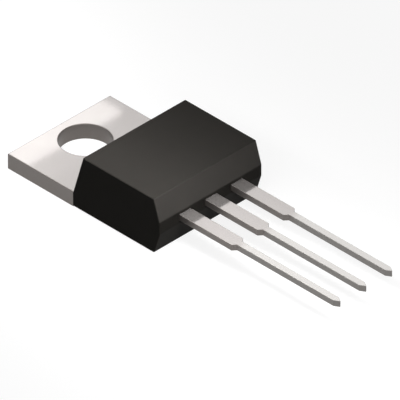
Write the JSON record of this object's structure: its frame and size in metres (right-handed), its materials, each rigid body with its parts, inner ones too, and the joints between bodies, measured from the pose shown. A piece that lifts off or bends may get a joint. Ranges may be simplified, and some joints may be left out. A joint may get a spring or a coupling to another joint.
{
  "type": "power mosfet",
  "caption": "Through-hole power transistor: a black moulded body on a metal tab with a mounting hole, and straight shouldered leads in a row at the other end.",
  "frame": {"origin": "centre of the tab's mounting hole, on the mounting face at the back of the tab", "axes": "+X along the leads towards their tips, +Z along the hole's axis, from the heatsink to the top of the body"},
  "size_m": [0.0301, 0.01, 0.0046],
  "materials": {
    "moulding": "satin",
    "tinned_copper": "satin",
    "silicon": "gloss",
    "solder": "satin",
    "bond_wire": "satin"
  },
  "bodies": {
    "root": {"moulded_body": "moulding", "drain_tab": "tinned_copper", "gate_lead": "tinned_copper", "source_lead": "tinned_copper", "silicon_die": "silicon", "die_solder": "solder", "gate_wire": "bond_wire", "inner_source_wire": "bond_wire", "outer_source_wire": "bond_wire"}
  },
  "joints": []
}
